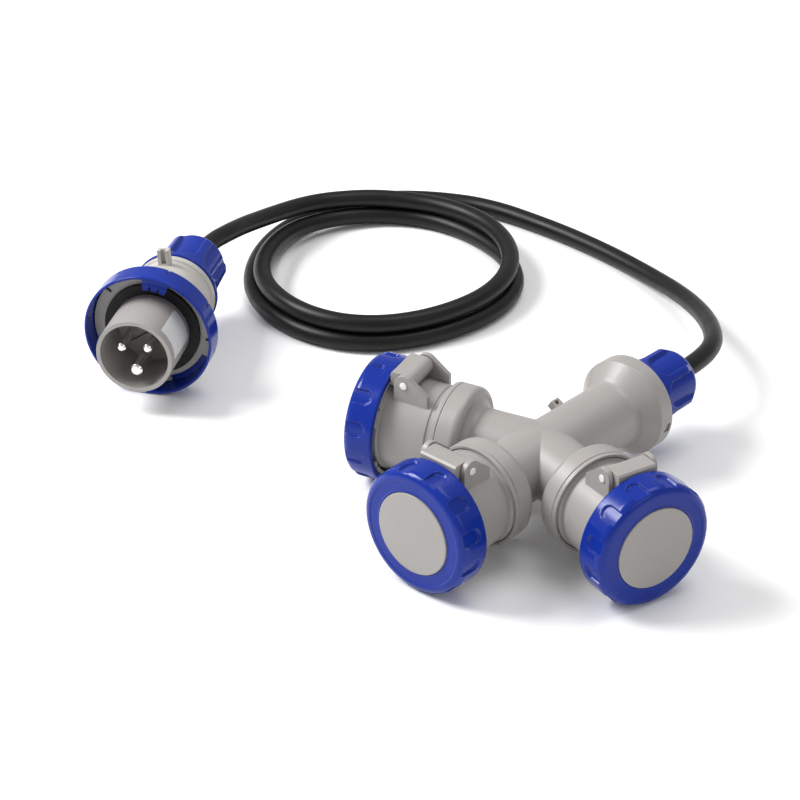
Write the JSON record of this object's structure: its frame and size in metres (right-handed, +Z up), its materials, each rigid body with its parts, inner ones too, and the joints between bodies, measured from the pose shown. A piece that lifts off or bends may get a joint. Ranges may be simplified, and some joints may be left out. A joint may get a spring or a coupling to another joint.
{
  "type": "three-way socket adapter with lead",
  "caption": "Portable power splitter: a moulded grey body with socket outlets under hinged lids and blue bayonet rings, a cable gland, a loosely coiled black lead and a matching plug.",
  "frame": {"origin": "on the floor under the centre of the adapter's own box, without its lead and plug", "axes": "+Z up, +Y along the stem towards the cable gland, so the front outlet faces -Y; +X to the right"},
  "size_m": [0.4362, 0.3598, 0.0749],
  "materials": {
    "grey_plastic": "fine moulded satin",
    "light_grey_plastic": "fine moulded satin",
    "dark_grey_plastic": "matte",
    "blue_plastic": "polished moulding",
    "black_rubber": "matte",
    "cable_jacket": "satin rubber jacket",
    "nickel_brass": "nickel plated",
    "steel": "bright",
    "core_brown": "insulation",
    "core_blue": "insulation",
    "core_earth": "insulation",
    "splice_plastic": "matte",
    "label": "blank film"
  },
  "bodies": {
    "root": {"body_housing": "grey_plastic", "contact_carrier_a": "dark_grey_plastic", "contact_carrier_b": "dark_grey_plastic", "contact_carrier_c": "dark_grey_plastic", "contact_screws_a": "steel", "contact_screws_b": "steel", "contact_screws_c": "steel", "contacts_a": "nickel_brass", "contacts_b": "nickel_brass", "contacts_c": "nickel_brass", "cord_coil": "cable_jacket", "cord_gland_run": "cable_jacket", "cord_plug_run": "cable_jacket", "core_earth": "core_earth", "core_line": "core_brown", "core_neutral": "core_blue", "entry_cable": "cable_jacket", "entry_plate": "grey_plastic", "gland_clamp": "dark_grey_plastic", "gland_nut": "blue_plastic", "gland_seal": "black_rubber", "hinge_pin_a": "steel", "hinge_pin_b": "steel", "hinge_pin_c": "steel", "housing_seal_a": "black_rubber", "housing_seal_b": "black_rubber", "housing_seal_c": "black_rubber", "lid_spring_a": "steel", "lid_spring_b": "steel", "lid_spring_c": "steel", "plug_body": "light_grey_plastic", "plug_cable_end": "cable_jacket", "plug_carrier": "grey_plastic", "plug_gasket": "black_rubber", "plug_label": "label", "plug_nut": "blue_plastic", "plug_pin_earth": "nickel_brass", "plug_pin_line": "nickel_brass", "plug_pin_neutral": "nickel_brass", "plug_seal": "black_rubber", "plug_sleeve": "grey_plastic", "socket_housing_a": "grey_plastic", "socket_housing_b": "grey_plastic", "socket_housing_c": "grey_plastic", "splice_earth": "splice_plastic", "splice_line": "splice_plastic", "splice_neutral": "splice_plastic"},
    "lid_a": {"lid_a": "grey_plastic", "lid_gasket_a": "black_rubber", "lid_face_a": "grey_plastic"},
    "ring_a": {"lid_ring_a": "blue_plastic"},
    "lid_b": {"lid_b": "grey_plastic", "lid_gasket_b": "black_rubber", "lid_face_b": "grey_plastic"},
    "ring_b": {"lid_ring_b": "blue_plastic"},
    "lid_c": {"lid_c": "grey_plastic", "lid_gasket_c": "black_rubber", "lid_face_c": "grey_plastic"},
    "ring_c": {"lid_ring_c": "blue_plastic"},
    "plug_ring": {"plug_ring": "blue_plastic"}
  },
  "joints": [
    {"name": "lid_a_hinge", "type": "hinge", "parent": "root", "child": "lid_a", "pos_m": [-0.07036, -0.02838, 0.06505], "axis": [-0.2756, 0.9613, 0], "range_deg": [0, 150], "stiffness_Nm_per_rad": 0.04, "springref_deg": -114.59},
    {"name": "ring_a_lock", "type": "hinge", "parent": "lid_a", "child": "ring_a", "pos_m": [-0.08651, -0.03301, 0.0342], "axis": [-0.9613, -0.2756, 0], "range_deg": [0, 40]},
    {"name": "lid_b_hinge", "type": "hinge", "parent": "root", "child": "lid_b", "pos_m": [0, -0.0814, 0.06505], "axis": [-1, 0, 0], "range_deg": [0, 150], "stiffness_Nm_per_rad": 0.04, "springref_deg": -114.59},
    {"name": "ring_b_lock", "type": "hinge", "parent": "lid_b", "child": "ring_b", "pos_m": [0, -0.0982, 0.0342], "axis": [0, -1, 0], "range_deg": [0, 40]},
    {"name": "lid_c_hinge", "type": "hinge", "parent": "root", "child": "lid_c", "pos_m": [0.07036, -0.02838, 0.06505], "axis": [-0.2756, -0.9613, 0], "range_deg": [0, 150], "stiffness_Nm_per_rad": 0.04, "springref_deg": -114.59},
    {"name": "ring_c_lock", "type": "hinge", "parent": "lid_c", "child": "ring_c", "pos_m": [0.08651, -0.03301, 0.0342], "axis": [0.9613, -0.2756, 0], "range_deg": [0, 40]},
    {"name": "plug_ring_lock", "type": "hinge", "parent": "root", "child": "plug_ring", "pos_m": [-0.24412, -0.05869, 0.0374], "axis": [0.4909, -0.8712, 0], "range_deg": [0, 40]}
  ]
}
